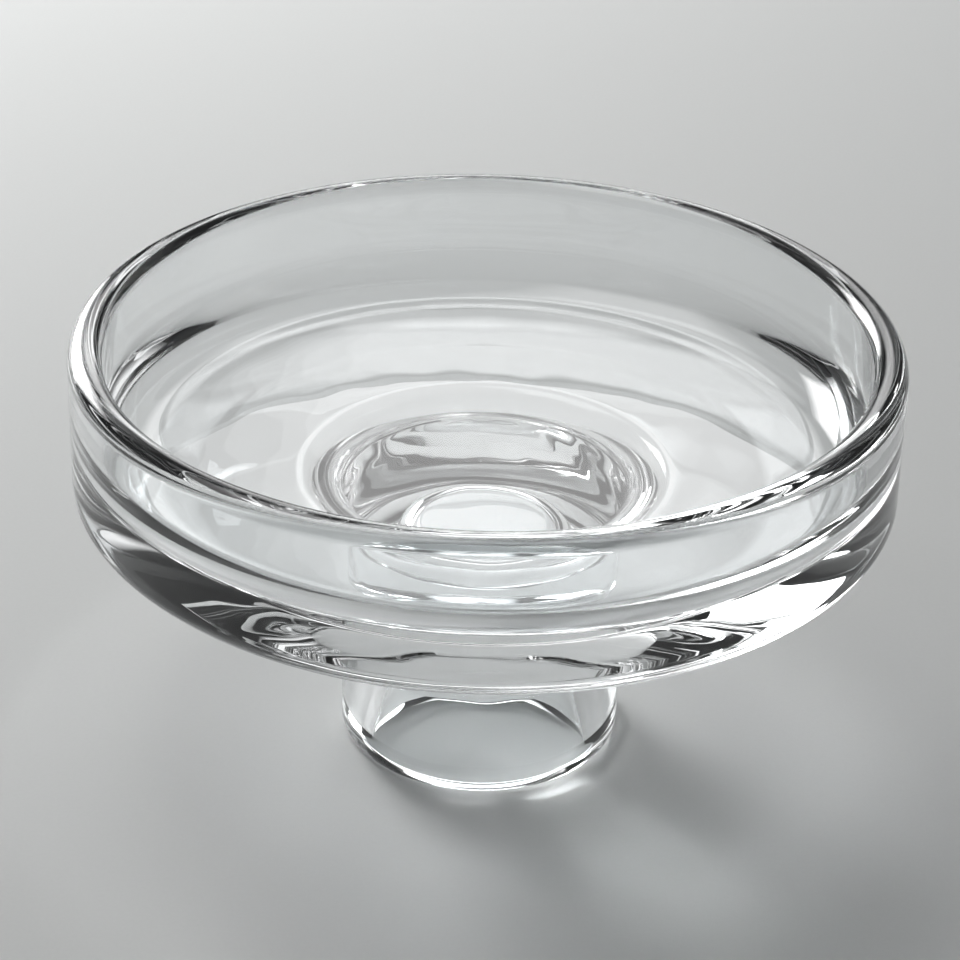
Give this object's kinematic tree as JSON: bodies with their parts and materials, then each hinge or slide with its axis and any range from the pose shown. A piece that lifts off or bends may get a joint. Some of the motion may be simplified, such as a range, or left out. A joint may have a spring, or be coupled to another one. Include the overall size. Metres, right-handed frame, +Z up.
{
  "type": "floating candle bowl",
  "caption": "Low clear-glass bowl with a full-round rim and a thick floor, bonded to a hollow cylindrical glass foot; holds water and floating candles.",
  "frame": {"origin": "centre of the foot's base, on the surface that the bowl stands on", "axes": "+Z up along the axis of revolution, out of the bowl's mouth; +Y away from the viewer in the picture"},
  "size_m": [0.136, 0.136, 0.0742],
  "materials": {
    "bowl_glass": "fire-polished, colourless",
    "foot_glass": "fire-polished, colourless",
    "clear_bond": "clear cured adhesive"
  },
  "bodies": {
    "root": {"bowl": "bowl_glass", "foot": "foot_glass", "bond_film": "clear_bond"}
  },
  "joints": []
}
